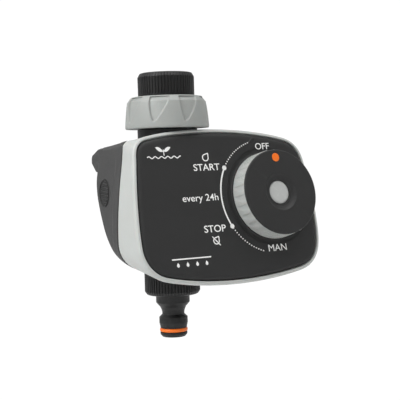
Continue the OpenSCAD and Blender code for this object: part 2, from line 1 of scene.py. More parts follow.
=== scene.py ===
import bpy
import bmesh
import math
import numpy as np
from mathutils import Vector, Matrix
from mathutils.bvhtree import BVHTree
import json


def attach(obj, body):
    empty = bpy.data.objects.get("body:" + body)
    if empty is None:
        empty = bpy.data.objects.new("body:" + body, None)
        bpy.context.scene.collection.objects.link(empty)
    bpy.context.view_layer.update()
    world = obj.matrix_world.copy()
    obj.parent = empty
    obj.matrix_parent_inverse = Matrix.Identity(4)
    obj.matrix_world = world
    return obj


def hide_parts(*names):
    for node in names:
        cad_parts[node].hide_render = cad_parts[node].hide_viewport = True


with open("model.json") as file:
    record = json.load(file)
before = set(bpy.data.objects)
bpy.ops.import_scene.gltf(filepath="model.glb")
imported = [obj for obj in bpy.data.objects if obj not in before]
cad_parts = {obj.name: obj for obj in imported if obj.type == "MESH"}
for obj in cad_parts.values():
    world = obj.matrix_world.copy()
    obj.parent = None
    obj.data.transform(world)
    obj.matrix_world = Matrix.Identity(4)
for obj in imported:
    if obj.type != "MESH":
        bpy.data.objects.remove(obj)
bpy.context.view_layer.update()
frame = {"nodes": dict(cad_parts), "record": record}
NODES = frame["nodes"]
SLOTS = {s["node"]: s["material_slot"] for s in frame["record"]["subparts"]}
BODY = {n: b for b, ns in frame["record"]["behaviour"]["bodies"].items() for n in ns}

MM = 0.001
DROP = 79.2
LEAN = math.radians(13)
C13, S13 = math.cos(LEAN), math.sin(LEAN)
XC = -28.5


# ------------------------------------------------------------------ frames
def P(a):
    """Water-axis frame (mm, z = 0 at the middle of the housing) to the row frame (m)."""
    a = np.asarray(a, float)
    return np.stack([a[..., 0], a[..., 1], a[..., 2] - DROP], -1) * MM


def F(a):
    """Panel frame: x right, y into the housing, z up the panel."""
    a = np.asarray(a, float)
    x, y, z = a[..., 0], a[..., 1], a[..., 2]
    return P(np.stack([x + 49.6, -29.5 + y * C13 + z * S13, 6.8 - y * S13 + z * C13], -1))


def D(a):
    """Dial frame: x right, y up the panel, z out of the panel."""
    a = np.asarray(a, float)
    return F(np.stack([a[..., 0], -a[..., 2], a[..., 1]], -1))


# --------------------------------------------------------------- materials
def srgb(r, g, b):
    def f(v):
        v /= 255.0
        return v / 12.92 if v <= 0.04045 else ((v + 0.055) / 1.055) ** 2.4
    return (f(r), f(g), f(b), 1.0)


def mat_base(name):
    m = bpy.data.materials.new(name)
    m.use_nodes = True
    nt = m.node_tree
    return m, nt, nt.nodes, nt.links, nt.nodes["Principled BSDF"]


def noise(nodes, links, coord, scale, detail=3.0, rough=0.55, dist=0.0):
    n = nodes.new("ShaderNodeTexNoise")
    n.inputs["Scale"].default_value = scale
    n.inputs["Detail"].default_value = detail
    n.inputs["Roughness"].default_value = rough
    n.inputs["Distortion"].default_value = dist
    links.new(coord, n.inputs["Vector"])
    return n.outputs["Fac"]


def remap(nodes, links, fac, a, b, lo=0.0, hi=1.0):
    n = nodes.new("ShaderNodeMapRange")
    n.inputs["From Min"].default_value = a
    n.inputs["From Max"].default_value = b
    n.inputs["To Min"].default_value = lo
    n.inputs["To Max"].default_value = hi
    links.new(fac, n.inputs["Value"])
    return n.outputs["Result"]


def mixc(nodes, links, fac, a, b):
    n = nodes.new("ShaderNodeMix")
    n.data_type = "RGBA"
    for sock, v in ((n.inputs[0], fac), (n.inputs[6], a), (n.inputs[7], b)):
        if isinstance(v, (tuple, list, float, int)):
            sock.default_value = v
        else:
            links.new(v, sock)
    return n.outputs[2]


def shade(c, k):
    return (min(1, c[0] * k), min(1, c[1] * k), min(1, c[2] * k), 1.0)


def plastic(name, col, rough=0.45, grain=2600.0, bump=0.25, depth=0.00004, var=0.06, edge=0.25, edge_k=1.5,
            spec=0.5, sss=0.0, coat=0.0, scuff=0.0, streak=0.0, metallic=0.0, rvar=0.09):
    """Moulded plastic, rubber or metal: mottled colour, worn edges, painted shade in hollows, grained roughness and
    bump.
    """
    m, nt, nodes, links, bsdf = mat_base(name)
    tc = nodes.new("ShaderNodeTexCoord").outputs["Object"]
    big = noise(nodes, links, tc, 55.0, 3.0)
    mid = noise(nodes, links, tc, 420.0, 4.0, 0.6)
    fine = noise(nodes, links, tc, grain, 2.0, 0.5)
    c = mixc(nodes, links, remap(nodes, links, big, 0.3, 0.7), shade(col, 1 - var), shade(col, 1 + var))
    c = mixc(nodes, links, remap(nodes, links, mid, 0.35, 0.65, 0, 0.5), c, shade(col, 1 - var * 0.7))
    geo = nodes.new("ShaderNodeNewGeometry").outputs["Pointiness"]
    wear = remap(nodes, links, geo, 0.51, 0.60, 0, edge)
    brk = nodes.new("ShaderNodeMath")
    brk.operation = "MULTIPLY"
    links.new(wear, brk.inputs[0])
    links.new(remap(nodes, links, mid, 0.35, 0.6), brk.inputs[1])
    c = mixc(nodes, links, brk.outputs[0], c, shade(col, edge_k))
    # painted shade: colour darkened towards 0.55 in concave hollows (found by pointiness), where shade would fall
    painted_cavity_shade = remap(nodes, links, geo, 0.49, 0.42, 0, 0.45)
    c = mixc(nodes, links, painted_cavity_shade, c, shade(col, 0.55))
    if scuff > 0:
        mp = nodes.new("ShaderNodeMapping")
        mp.inputs["Scale"].default_value = (1.0, 1.0, 0.12)
        mp.inputs["Rotation"].default_value = (0.5, 0.3, 0.2)
        links.new(tc, mp.inputs["Vector"])
        s = noise(nodes, links, mp.outputs["Vector"], 900.0, 5.0, 0.7, 0.6)
        s = remap(nodes, links, s, 0.66, 0.74, 0, scuff)
        c = mixc(nodes, links, s, c, shade(col, 1.8))
    links.new(c, bsdf.inputs["Base Color"])
    r = nodes.new("ShaderNodeMath")
    r.operation = "ADD"
    links.new(remap(nodes, links, fine, 0.3, 0.7, rough - rvar * 0.6, rough + rvar * 0.6), r.inputs[0])
    links.new(remap(nodes, links, big, 0.3, 0.7, -rvar * 0.6, rvar * 0.6), r.inputs[1])
    links.new(r.outputs[0], bsdf.inputs["Roughness"])
    b = nodes.new("ShaderNodeBump")
    b.inputs["Strength"].default_value = bump
    b.inputs["Distance"].default_value = depth
    links.new(fine, b.inputs["Height"])
    b2 = nodes.new("ShaderNodeBump")
    b2.inputs["Strength"].default_value = 0.12
    b2.inputs["Distance"].default_value = 0.0004
    links.new(big, b2.inputs["Height"])
    links.new(b2.outputs["Normal"], b.inputs["Normal"])
    links.new(b.outputs["Normal"], bsdf.inputs["Normal"])
    bsdf.inputs["Specular IOR Level"].default_value = spec
    bsdf.inputs["Metallic"].default_value = metallic
    bsdf.inputs["Coat Weight"].default_value = coat
    if sss > 0:
        bsdf.inputs["Subsurface Weight"].default_value = sss
        bsdf.inputs["Subsurface Scale"].default_value = 0.0015
    return m


def metal(name, col, rough=0.3, along=(1, 1, 1), scale=900.0, bump=0.15):
    """Turned or rolled metal: fine brushed lines, smudged roughness, painted shade darkening the hollows."""
    m, nt, nodes, links, bsdf = mat_base(name)
    tc = nodes.new("ShaderNodeTexCoord").outputs["Object"]
    mp = nodes.new("ShaderNodeMapping")
    mp.inputs["Scale"].default_value = along
    links.new(tc, mp.inputs["Vector"])
    line = noise(nodes, links, mp.outputs["Vector"], scale, 4.0, 0.7)
    big = noise(nodes, links, tc, 90.0, 3.0)
    c = mixc(nodes, links, remap(nodes, links, line, 0.3, 0.7), shade(col, 0.86), shade(col, 1.1))
    geo = nodes.new("ShaderNodeNewGeometry").outputs["Pointiness"]
    # painted shade: colour darkened towards 0.4 in concave hollows (found by pointiness), where shade would fall
    c = mixc(nodes, links, remap(nodes, links, geo, 0.5, 0.42, 0, 0.6), c, shade(col, 0.4))
    links.new(c, bsdf.inputs["Base Color"])
    bsdf.inputs["Metallic"].default_value = 1.0
    links.new(remap(nodes, links, big, 0.3, 0.7, rough - 0.08, rough + 0.1), bsdf.inputs["Roughness"])
    b = nodes.new("ShaderNodeBump")
    b.inputs["Strength"].default_value = bump
    b.inputs["Distance"].default_value = 0.00003
    links.new(line, b.inputs["Height"])
    links.new(b.outputs["Normal"], bsdf.inputs["Normal"])
    return m


M = {
    "frame": plastic("frame_light", srgb(190, 193, 190), 0.42, 2400, 0.22, var=0.025, edge=0.25, edge_k=1.12, sss=0.05),
    "rear": plastic("shell_dark", srgb(61, 61, 61), 0.55, 1900, 0.5, 0.00007, var=0.06, edge=0.3, edge_k=1.5, scuff=0.12),
    "panel": plastic("panel_dark", srgb(43, 43, 43), 0.52, 2300, 0.35, 0.00005, var=0.05, edge=0.25, edge_k=1.6, spec=0.35),
    "dialface": plastic("dial_dark", srgb(44, 44, 44), 0.50, 2300, 0.35, 0.00005, var=0.05, edge=0.3, edge_k=1.7, spec=0.35),
    "dialside": plastic("dial_light", srgb(186, 189, 186), 0.28, 2400, 0.22, var=0.03, edge=0.25, edge_k=1.15, sss=0.05),
    "button": plastic("button_grey", srgb(188, 190, 188), 0.45, 2400, 0.25, var=0.03, edge=0.3, edge_k=1.2),
    "orange": plastic("pointer_orange", srgb(255, 118, 6), 0.35, 2600, 0.15, var=0.04, edge=0.2, edge_k=1.2, coat=0.2),
    "nut": plastic("nut_grey", srgb(160, 163, 160), 0.40, 2300, 0.22, var=0.03, edge=0.35, edge_k=1.25, sss=0.04),
    "black": plastic("black_plastic", srgb(18, 18, 18), 0.42, 2200, 0.3, 0.00005, var=0.08, edge=0.35, edge_k=2.4, scuff=0.08, spec=0.42),
    "pad": plastic("soft_pad", srgb(50, 50, 50), 0.72, 1500, 0.6, 0.00008, var=0.10, edge=0.3, edge_k=1.5, spec=0.3),
    "rubber": plastic("seal_rubber", srgb(26, 26, 26), 0.78, 1400, 0.5, 0.00008, var=0.12, edge=0.2, edge_k=1.7, spec=0.3),
    "oring": plastic("oring_orange", srgb(250, 118, 28), 0.38, 1800, 0.2, var=0.06, edge=0.2, edge_k=1.2, sss=0.1),
    "print": plastic("print_white", srgb(250, 250, 248), 0.55, 3000, 0.3, 0.00002, var=0.03, edge=0.0),
    "white": plastic("white_plastic", srgb(222, 220, 210), 0.38, 2400, 0.2, var=0.03, edge=0.2, edge_k=1.08, sss=0.1),
    "chip": plastic("chip_black", srgb(34, 34, 36), 0.5, 3000, 0.3, var=0.1, edge=0.3, edge_k=1.8),
    "steel": metal("steel", (0.56, 0.57, 0.58, 1), 0.28, (1, 6, 6)),
    "brass": metal("brass", (0.75, 0.55, 0.24, 1), 0.24, (1, 6, 6)),
    "gold": metal("contact_metal", (0.83, 0.62, 0.26, 1), 0.22, (5, 1, 1)),
    "wrap": plastic("battery_wrap", srgb(30, 32, 36), 0.28, 1200, 0.08, var=0.08, edge=0.3, edge_k=2.2, coat=0.4),
    "red": plastic("lead_red", srgb(176, 22, 16), 0.42, 2000, 0.2, var=0.08, edge=0.1, edge_k=1.2),
}


def board_material():
    m, nt, nodes, links, bsdf = mat_base("board_green")
    tc = nodes.new("ShaderNodeTexCoord").outputs["Object"]
    v = nodes.new("ShaderNodeTexVoronoi")
    v.distance = "MANHATTAN"
    v.feature = "DISTANCE_TO_EDGE"
    v.inputs["Scale"].default_value = 160.0
    links.new(tc, v.inputs["Vector"])
    trace = remap(nodes, links, v.outputs["Distance"], 0.06, 0.09)
    big = noise(nodes, links, tc, 80.0)
    c = mixc(nodes, links, trace, srgb(44, 120, 66), srgb(22, 84, 44))
    c = mixc(nodes, links, remap(nodes, links, big, 0.3, 0.7, 0, 0.35), c, srgb(18, 66, 36))
    links.new(c, bsdf.inputs["Base Color"])
    links.new(remap(nodes, links, big, 0.3, 0.7, 0.2, 0.34), bsdf.inputs["Roughness"])
    b = nodes.new("ShaderNodeBump")
    b.inputs["Strength"].default_value = 0.4
    b.inputs["Distance"].default_value = 0.00005
    links.new(trace, b.inputs["Height"])
    links.new(b.outputs["Normal"], bsdf.inputs["Normal"])
    return m


M["board"] = board_material()
SLOT_MAT = {"shell_dark": "rear", "frame_light": "frame", "panel_dark": "panel", "soft_pad": "pad", "seal_rubber": "rubber",
            "dial_light": "dialside", "pointer_orange": "orange", "button_grey": "button", "black_plastic": "black",
            "nut_grey": "nut", "white_plastic": "white", "board_green": "board", "chip_black": "chip", "contact_metal": "gold",
            "steel": "steel", "ball_brass": "brass", "oring_orange": "oring", "battery_wrap": "wrap", "lead_red": "red"}


# ------------------------------------------------------------ mesh helpers
def finish_mesh(me, mat, angle):
    me.materials.clear()
    me.materials.append(mat)
    me.polygons.foreach_set("use_smooth", [True] * len(me.polygons))
    me.set_sharp_from_angle(angle=math.radians(angle))


def make(name, verts, faces, mat, angle=32.0, doubles=0.0):
    me = bpy.data.meshes.new(name)
    me.from_pydata([tuple(v) for v in np.asarray(verts, float)], [], faces)
    bm = bmesh.new()
    bm.from_mesh(me)
    if doubles:
        bmesh.ops.remove_doubles(bm, verts=bm.verts, dist=doubles)
    bmesh.ops.recalc_face_normals(bm, faces=bm.faces)
    bm.to_mesh(me)
    bm.free()
    me.validate()
    o = bpy.data.objects.new(name, me)
    bpy.context.scene.collection.objects.link(o)
    finish_mesh(me, mat, angle)
    return o


def place(o, body, *nodes, slot=None):
    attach(o, body)
    if nodes:
        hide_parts(*nodes)
        slot = slot or SLOTS[nodes[0]]
    return o


def grid(rings, close_m=False, cap0=False, cap1=False, off=0):
    """Faces over rings of shape (m, n, 3), each ring closed; returns verts and faces."""
    m, n = rings.shape[:2]
    verts = [tuple(v) for v in rings.reshape(-1, 3)]
    faces = []
    for i in range(m if close_m else m - 1):
        a, b = i * n, ((i + 1) % m) * n
        for j in range(n):
            k = (j + 1) % n
            faces.append((a + j + off, a + k + off, b + k + off, b + j + off))
    for flag, i in ((cap0, 0), (cap1, m - 1)):
        if flag:
            verts.append(tuple(rings[i].mean(0)))
            c = len(verts) - 1
            for j in range(n):
                faces.append((i * n + j + off, i * n + (j + 1) % n + off, c + off))
    return verts, faces


def rounded(pts, steps=4, closed=False):
    """2-D polyline with corner radii: [(a, b, radius)] to an array of points."""
    out = []
    n = len(pts)
    for i, p in enumerate(pts):
        a, b = float(p[0]), float(p[1])
        r = p[2] if len(p) > 2 else 0
        if r <= 0 or (not closed and i in (0, n - 1)):
            out.append((a, b))
            continue
        p0 = np.array(pts[(i - 1) % n][:2], float)
        p1 = np.array([a, b])
        p2 = np.array(pts[(i + 1) % n][:2], float)
        u, v = p0 - p1, p2 - p1
        lu, lv = np.linalg.norm(u), np.linalg.norm(v)
        u, v = u / lu, v / lv
        ang = math.acos(max(-1, min(1, float(u @ v))))
        t = min(r / math.tan(ang / 2), lu * 0.48, lv * 0.48)
        q0, q1 = p1 + u * t, p1 + v * t
        for k in range(steps + 1):
            s = k / steps
            q = (1 - s) ** 2 * q0 + 2 * s * (1 - s) * p1 + s * s * q1
            out.append(tuple(q))
    return np.array(out)


def revolve(name, prof, mat, frame_fn=P, n=160, centre=(0, 0), close_m=True, fn=None, angle=32.0, cap=False):
    """Turns a (r, z) profile about an axis; fn(r, z, theta) may change the radius."""
    prof = np.asarray(prof, float)
    th = np.arange(n) * 2 * math.pi / n
    r = np.repeat(prof[:, 0][:, None], n, 1)
    z = np.repeat(prof[:, 1][:, None], n, 1)
    t = np.repeat(th[None, :], len(prof), 0)
    if fn is not None:
        r, z = fn(r, z, t)
    rings = np.stack([centre[0] + r * np.cos(t), centre[1] + r * np.sin(t), z], -1)
    if not cap:
        verts, faces = grid(rings, close_m=close_m)
    else:
        verts, faces = grid(rings, cap0=True, cap1=True)
    return make(name, frame_fn(np.array(verts)), faces, mat, angle)


def baked(o):
    dg = bpy.context.evaluated_depsgraph_get()
    return bpy.data.meshes.new_from_object(o.evaluated_get(dg))


def cut(o, cutter, op="DIFFERENCE", angle=32.0, drop=True, mat=None):
    mod = o.modifiers.new("cut", "BOOLEAN")
    mod.operation = op
    mod.solver = "EXACT"
    mod.object = cutter
    bpy.context.view_layer.update()
    me = baked(o)
    o.modifiers.remove(mod)
    old = o.data
    o.data = me
    bpy.data.meshes.remove(old)
    bm = bmesh.new()
    bm.from_mesh(me)
    bmesh.ops.dissolve_degenerate(bm, dist=1e-7, edges=bm.edges)
    bm.to_mesh(me)
    bm.free()
    finish_mesh(me, mat or M["rear"], angle)
    if drop:
        cm = cutter.data
        bpy.data.objects.remove(cutter)
        bpy.data.meshes.remove(cm)


def prism(name, loop, a, b, to, n_extra=0):
    """Closed prism over a 2-D loop between levels a and b; to(points) places (u, v, level)."""
    loop = np.asarray(loop, float)
    n = len(loop)
    v = np.concatenate([np.c_[loop, np.full(n, a)], np.c_[loop, np.full(n, b)]])
    faces = [(i, (i + 1) % n, n + (i + 1) % n, n + i) for i in range(n)]
    faces += [tuple(range(n))[::-1], tuple(range(n, 2 * n))]
    return make(name, to(v), faces, M["rear"])


def round_rect(x0, y0, x1, y1, r, k=8):
    out = []
    for cx, cy, a0 in ((x1 - r, y1 - r, 0), (x0 + r, y1 - r, 90), (x0 + r, y0 + r, 180), (x1 - r, y0 + r, 270)):
        for i in range(k + 1):
            a = math.radians(a0 + 90 * i / k)
            out.append((cx + r * math.cos(a), cy + r * math.sin(a)))
    return np.array(out)


def pchip(xs, ys, x):
    """Monotone cubic through (xs, ys)."""
    xs, ys = np.asarray(xs, float), np.asarray(ys, float)
    h = np.diff(xs)
    d = np.diff(ys) / h
    m = np.zeros_like(ys)
    for i in range(1, len(xs) - 1):
        if d[i - 1] * d[i] > 0:
            w1, w2 = 2 * h[i] + h[i - 1], h[i] + 2 * h[i - 1]
            m[i] = (w1 + w2) / (w1 / d[i - 1] + w2 / d[i])
    m[0], m[-1] = d[0], d[-1]
    k = np.clip(np.searchsorted(xs, x, side="right") - 1, 0, len(h) - 1)
    t = (x - xs[k]) / h[k]
    return ((2 * t ** 3 - 3 * t ** 2 + 1) * ys[k] + (t ** 3 - 2 * t ** 2 + t) * h[k] * m[k]
            + (-2 * t ** 3 + 3 * t ** 2) * ys[k + 1] + (t ** 3 - t ** 2) * h[k] * m[k + 1])


# --------------------------------------------------------- panel's outline
EDGES = [
    [(-74.5, 34.7), (-50, 40), (-10, 39.5), (17, 32.6)],
    [(17, 32.6), (22.5, 31), (26, 27.5), (27.2, 21.5)],
    [(27.2, 21.5), (29, 9), (31.2, -10), (29.6, -24)],
    [(29.6, -24), (28.6, -33.5), (25, -39.8), (14.5, -42)],
    [(14.5, -42), (-12, -47), (-46, -47.8), (-74, -41.3)],
    [(-74, -41.3), (-81, -39.8), (-86.8, -33.5), (-87.1, -25.5)],
    [(-87.1, -25.5), (-87.6, -9), (-84.9, 12), (-83, 24)],
    [(-83, 24), (-82.6, 31), (-80, 34), (-74.5, 34.7)]]
N = 288


def outline_points(n):
    t = np.linspace(0, 1, 160, endpoint=False)[:, None]
    pts = []
    for e in EDGES:
        p = np.array(e, float)
        pts.append((1 - t) ** 3 * p[0] + 3 * (1 - t) ** 2 * t * p[1] + 3 * (1 - t) * t * t * p[2] + t ** 3 * p[3])
    pts = np.concatenate(pts)

    def even(q, k):
        c = np.vstack([q, q[:1]])
        s = np.concatenate([[0], np.cumsum(np.linalg.norm(np.diff(c, axis=0), axis=1))])
        u = np.arange(k) * s[-1] / k
        return np.stack([np.interp(u, s, c[:, 0]), np.interp(u, s, c[:, 1])], 1)
    q = even(pts, 1440)
    k = np.arange(-24, 25)
    w = np.exp(-0.5 * (k * (390 / 1440) / 1.3) ** 2)
    w /= w.sum()
    q = sum(w[i] * np.roll(q, -k[i], 0) for i in range(len(k)))
    return even(q, n)


def normals2(q):
    t = np.roll(q, -1, 0) - np.roll(q, 1, 0)
    t /= np.linalg.norm(t, axis=1)[:, None]
    return np.stack([-t[:, 1], t[:, 0]], 1)


OUT = outline_points(N)
NRM = normals2(OUT)


def squared(q):
    """The outline with its upper left corner drawn out into a narrow flat."""
    k = np.where((q[:, 0] < -74.4) & (q[:, 1] > 23.9))[0]
    k = k[np.argsort(q[k, 0] + q[k, 1])]
    goal = rounded([tuple(q[k[0]]), (-82.35, 31.3, 0.9), (-79.5, 34.15, 0.9), tuple(q[k[-1]])], 3)
    s = np.concatenate([[0], np.cumsum(np.linalg.norm(np.diff(goal, axis=0), axis=1))])
    t = np.concatenate([[0], np.cumsum(np.linalg.norm(np.diff(q[k], axis=0), axis=1))])
    t = t / t[-1] * s[-1]
    r = q.copy()
    r[k, 0], r[k, 1] = np.interp(t, s, goal[:, 0]), np.interp(t, s, goal[:, 1])
    return r


OUT2 = squared(OUT)


def ring_front(g, y):
    q = OUT + NRM * g
    return F(np.c_[q[:, 0], np.full(N, y), q[:, 1]])


def ease(v, a, b):
    t = np.clip((np.asarray(v, float) - a) / (b - a), 0, 1)
    return t * t * (3 - 2 * t)


def ring_up(y, sx, top, bot, g=0.0):
    wide = sx + (1 - sx) * 0.75 * ease(OUT[:, 1], 4, 28)
    q = np.stack([XC + (OUT2[:, 0] - XC) * wide, top - (35 - OUT2[:, 1]) * (top - bot) / 81.0], 1)
    q[:, 1] += (1.2 - 0.7 * ease(y, -4, 5) + 0.6 * ease(y, 12, 24)) * np.exp(-((OUT[:, 0] + 80) / 7.0) ** 2) * ease(OUT[:, 1], 15, 32)
    if g:
        q = q + normals2(q) * g
    return P(np.c_[q[:, 0] + 49.6, np.full(N, y), q[:, 1]])


SEAM = (1.0, 40.6, -36.6)


def seam_ring(y, g):
    return ring_up(y - 5.5, *SEAM, g=g - 0.3)


# ------------------------------------------------------------- front frame
rim = rounded([(0.52, 2.65), (0.52, 0.55, 0.2), (0.85, 0.45, 0.25), (1.75, 0.62, 0.9), (2.40, 1.75, 0.9), (2.46, 3.0)], 5)
rings = [ring_front(g, y) for g, y in rim]
a, b = ring_front(2.46, 3.0), seam_ring(-0.36, 0.0)
for w in np.linspace(0, 1, 22)[1:-1]:
    rings.append(a * (1 - w) + b * w)
w = 0.988
rings += [a * (1 - w) + b * w, seam_ring(-0.42, -0.08), seam_ring(-0.36, -0.4), seam_ring(-0.36, -1.4), seam_ring(-0.36, -2.2)]
a, b = ring_front(-0.1, 4.4), seam_ring(-0.36, -2.2)
for w in np.linspace(1, 0, 12)[1:]:
    rings.append(a * (1 - w) + b * w)
rings += [ring_front(-1.2, 4.2), ring_front(-2.6, 4.2), ring_front(-2.6, 2.65)]
v, f = grid(np.array(rings), close_m=True)
bezel = make("front_bezel", v, f, M["frame"])


def neck_cutter():
    return revolve("c1", [(17.5, 30), (17.5, 60)], M["rear"], cap=True, n=128)


def outlet_cutter():
    return revolve("c2", rounded([(13.25, -5), (13.25, -20), (14.8, -20), (14.8, -33.8), (16.7, -33.8, 0.3), (16.7, -60)], 3), M["rear"], cap=True, n=128)


cut(bezel, neck_cutter(), mat=M["frame"])
cut(bezel, outlet_cutter(), mat=M["frame"])
place(bezel, "housing", "front_frame")

# -------------------------------------------------------------- rear shell
SEC = np.array([  # y, width, top, bottom
    [-5.15, 1.0, 40.3, -36.3], [0.0, 0.994, 40.05, -35.2], [5.5, 0.987, 39.7, -33.0], [9.0, 0.982, 39.3, -29.8],
    [12.2, 0.978, 38.9, -25.8], [14.8, 0.975, 38.5, -21.2], [17.2, 0.972, 38.1, -15.6], [19.3, 0.969, 37.7, -10.2], [21.2, 0.966, 37.35, -4.6],
    [22.6, 0.963, 37.05, 0.0], [23.6, 0.959, 36.8, 4.2], [24.15, 0.955, 36.6, 7.0], [24.5, 0.95, 36.5, 9.5]])
ys = np.concatenate([np.linspace(-5.15, 2.45, 16), np.linspace(3.4, 21.2, 18), [21.9, 22.6, 23.1, 23.6, 23.9, 24.15, 24.35, 24.5]])


def rear_rings(inset=0.0, upto=24.5):
    rr = []
    for y in ys:
        if y > upto:
            break
        sx, top, bot = (float(pchip(SEC[:, 0], SEC[:, i], y)) for i in (1, 2, 3))
        sx -= inset / 58.6
        k = float(np.interp(y, [-5.15, 0, 12, 20, 24.5], [0, 0.1, 0.45, 0.85, 1.0]))
        rr.append(ring_up(y - inset * k, sx, top - inset, bot + inset * (1 if y < 20 else 1.3)))
    return rr


outer = rear_rings()
soft = seam_ring(0.42, -0.08)
outer[0] = soft
outer.insert(0, seam_ring(0.36, -0.4))
lean = [(24.75, 0.944, 36.4, 11.6), (25.0, 0.94, 36.3, 13.4), (25.3, 0.935, 36.2, 15.5), (25.6, 0.93, 36.1, 17.6), (25.9, 0.925, 36.0, 19.7), (26.2, 0.918, 35.9, 21.8), (26.35, 0.90, 35.7, 23.2), (26.4, 0.87, 35.0, 24.6)]
outer += [ring_up(*b) for b in lean]
# soft step down each flank behind the seam
for ring in outer:
    yy = ring[:, 1] / MM
    flank = ease(np.abs(NRM[:, 0]), 0.80, 0.97) * ease(-OUT[:, 1], -27, -19) * ease(OUT[:, 1], -34, -24)
    ring[:, 0] -= np.sign(NRM[:, 0]) * 0.55 * MM * flank * ease(yy, 0.6, 2.4)
inner = rear_rings(2.2)
inner[0] = seam_ring(0.36, -2.2)
v1, f1 = grid(np.array(outer), cap1=True)
v2, f2 = grid(np.array(inner), cap1=True)
n1 = len(v1)
f2 = [tuple(i + n1 for i in q) for q in f2]
f3 = [(j, (j + 1) % N, n1 + (j + 1) % N, n1 + j) for j in range(N)]
shell = make("rear_case", v1 + v2, f1 + f2 + f3, M["rear"])
outer_tree = BVHTree.FromPolygons([Vector(p) for p in v1], f1)

# brow along the top of the back, swept from side to side
prof = rounded([(19.5, 36.9), (24.95, 36.9, 0.4), (32.95, 33.3, 0.5), (33.65, 31.3, 0.4), (33.6, 28.8, 0.4), (28.2, 23.55, 0.5), (23.4, 23.8), (19.5, 27.0)], 5)
mid = prof.mean(0)
st = []
up = OUT[OUT[:, 1] > 20]
up = up[np.argsort(up[:, 0])]
for x, k in ((-82.1, 0.5), (-82.03, 0.25), (-81.88, 0.08), (-81.6, 0.0), (-80.8, 0), (-79.5, 0), (-77.8, 0), (-76, 0), (-74, 0), (-72, 0), (-67, 0), (-60, 0), (-50, 0), (-40, 0), (-30, 0), (-20, 0), (0, 0), (8.0, 0), (14.0, 0), (18.0, 0), (21.0, 0), (23.0, 0), (24.2, 0.02), (24.8, 0.14), (25.15, 0.4), (25.3, 0.8)):
    d = prof - mid
    q = mid + d * (1 - k / np.linalg.norm(d, axis=1))[:, None]
    arch = np.interp(q[:, 0], [19.5, 24.2, 33], [0.59, 0.37, 0.25]) * (float(np.interp(x, up[:, 0], up[:, 1])) - 34.7)
    arch = arch if x > -72 else np.interp(x, [-82.0, -79.5, -76, -72], [-0.35, 0.4, 0.3, float(arch.mean())])
    q[:, 1] += arch * np.clip((q[:, 1] - 24) / 12, 0, 1)
    st.append(P(np.c_[np.full(len(q), x + 49.6), q]))
v, f = grid(np.array(st), cap0=True, cap1=True)
cut(shell, make("c0", v, f, M["rear"]), "UNION")

cx0, cz0, cx1, cz1 = -29, -3, 23, 23
to_back = lambda a: P(np.c_[a[:, 0] + 49.6, a[:, 2], a[:, 1]])
cover = bpy.data.objects.new("battery_door", shell.data.copy())
bpy.context.scene.collection.objects.link(cover)
cut(cover, prism("c3", round_rect(cx0, cz0, cx1, cz1, 3.5), 5, 40, to_back), "INTERSECT")
cut(shell, prism("c3", round_rect(cx0 - 0.3, cz0 - 0.3, cx1 + 0.3, cz1 + 0.3, 3.8), 5, 40, to_back))
cut(shell, neck_cutter())
cut(shell, outlet_cutter())
place(shell, "housing", "rear_shell")
grip = prism("c4", round_rect(-14.5, 17.6, 8.5, 20.2, 1.3), 22.9, 40, to_back)
cut(cover, grip)
place(cover, "battery_door", "battery_cover")


# ------------------------------------------------------------- oval pads
def grip_pad(name, side, node):
    cy, cz, tilt = 14.0, 11.6, math.radians(-6)
    nu, nt = 34, 96
    hit_n = {}
    rows = []
    for i in range(nu + 1):
        rho = i / nu
        row = []
        for j in range(nt):
            t = 2 * math.pi * j / nt
            u, w = 5.7 * rho * math.cos(t), 7.9 * rho * math.sin(t)
            y = cy + u * math.cos(tilt) + w * math.sin(-tilt)
            z = cz - u * math.sin(-tilt) * -1 + w * math.cos(tilt)
            o = Vector(P(np.array([side * 120.0 + 20, y, z])))
            loc, nrm, idx, dist = outer_tree.ray_cast(o, Vector((-side, 0, 0)))
            n = Vector(nrm)
            if n.x * side < 0:
                n = -n
            ring = min(1, max(0, (rho - 0.86) / 0.04)) * min(1, max(0, (1.0 - rho) / 0.03))
            rib = 0.5 + 0.5 * math.cos(w * 2 * math.pi / 2.1)
            rib = min(1, max(0, (rib - 0.35) / 0.3)) * min(1, max(0, (0.80 - rho) / 0.05))
            h = -0.02 + 0.62 * max(ring, rib)
            if rho > 0.999:
                h = 0.0
            row.append(loc + n * h * MM)
        rows.append(row)
    skirt = []
    for j in range(nt):
        p = rows[-1][j]
        skirt.append(Vector((p.x - side * 0.0006, p.y, p.z)))
    top = np.array([[list(p) for p in r] for r in rows[1:]] + [[list(p) for p in skirt]])
    v, f = grid(top, cap0=True, cap1=True)
    return place(make(name, v, f, M["pad"], 40), "housing", node)


grip_pad("oval_grip_left", -1, "grip_pad_left")
grip_pad("oval_grip_right", 1, "grip_pad_right")

# ------------------------------------------------------------ front panel
GROOVE = [(9.1, 2.5), (9.1, 0.0), (25.5, 0.0), (25.7, 0.35), (26.1, 0.55), (27.8, 0.55), (28.3, 0.35), (28.7, 0.06), (29.0, 0.0)]
ang = np.arctan2(OUT[:, 1], OUT[:, 0])
rings = [F(np.c_[r * np.cos(ang), np.full(N, y), r * np.sin(ang)]) for r, y in GROOVE]
edge = [(-3.4, 0.0), (-2.7, 0.03), (-2.0, 0.12), (-1.4, 0.28), (-0.9, 0.52), (-0.45, 0.86), (-0.15, 1.3), (0.0, 1.9), (0.0, 2.5)]
c0 = np.c_[29.0 * np.cos(ang), 29.0 * np.sin(ang)]
q = OUT + NRM * edge[0][0]
inside = np.maximum(np.linalg.norm(q, axis=1) - 29.0, 0)
for w in np.linspace(0, 1, 12)[1:-1]:
    p = c0 * (1 - w) + q * w
    rings.append(F(np.c_[p[:, 0], np.zeros(N), p[:, 1]]))
rings += [ring_front(g, y) for g, y in edge]
v, f = grid(np.array(rings), close_m=True)
panel = make("fascia_panel", v, f, M["panel"], 40)
place(panel, "housing", "front_panel")


